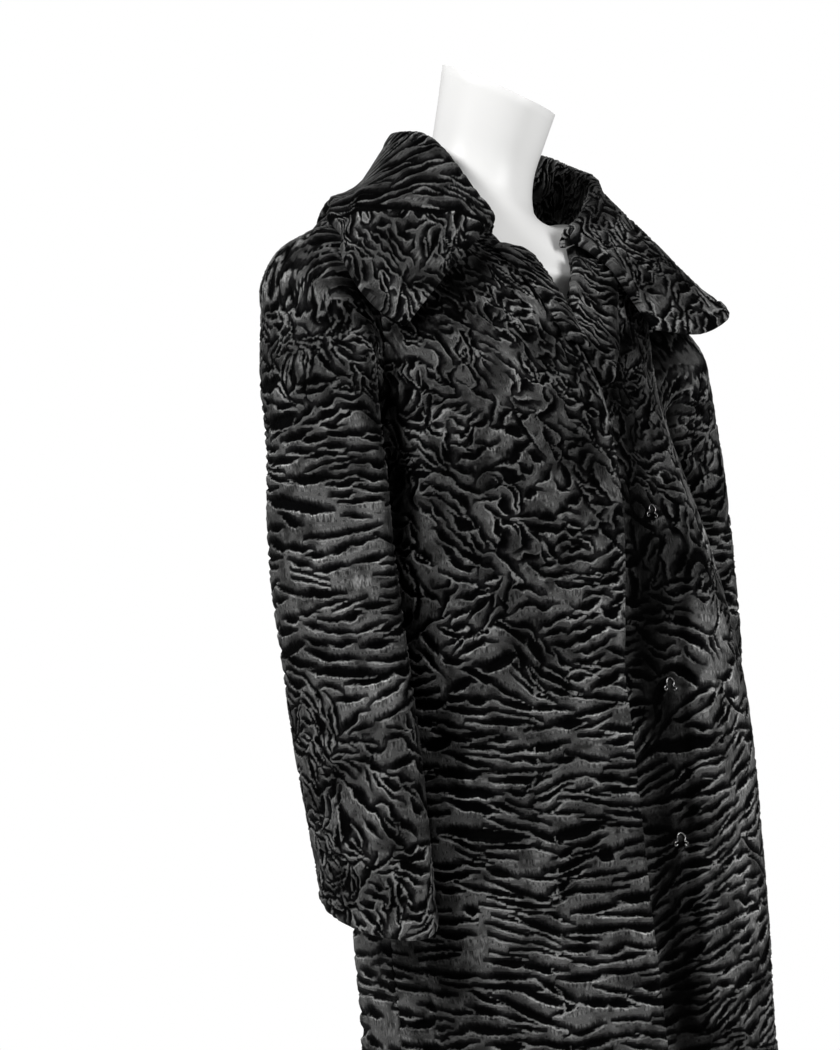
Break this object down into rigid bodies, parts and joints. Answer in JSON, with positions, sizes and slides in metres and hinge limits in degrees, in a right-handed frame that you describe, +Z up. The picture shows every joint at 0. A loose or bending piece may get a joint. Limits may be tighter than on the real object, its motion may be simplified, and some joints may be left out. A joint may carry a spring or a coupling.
{
  "type": "women's fur coat on a limbless dress form",
  "caption": "Long black broadtail fur coat with a wide wing collar, worn hollow on a smooth white dress form with a slanted neck, on a pole and round base.",
  "frame": {"origin": "on the floor, under the middle of the whole figure's box", "axes": "+Z up, the coat faces -Y, the wearer's left is +X"},
  "size_m": [0.5539, 0.3919, 1.5171],
  "materials": {
    "fur": "black broadtail pelt, flat glossy curls",
    "form": "white gloss lacquer",
    "steel": "satin",
    "wire": "black lacquered wire"
  },
  "bodies": {
    "root": {"back": "fur", "front_right": "fur", "front_left": "fur", "sleeve_right": "fur", "sleeve_left": "fur", "collar": "fur", "lapel_right": "fur", "lapel_left": "fur", "eye_1": "wire", "eye_2": "wire", "eye_3": "wire", "hook_1": "wire", "hook_2": "wire", "hook_3": "wire", "form_torso": "form", "form_pole": "steel", "form_base": "steel"}
  },
  "joints": []
}
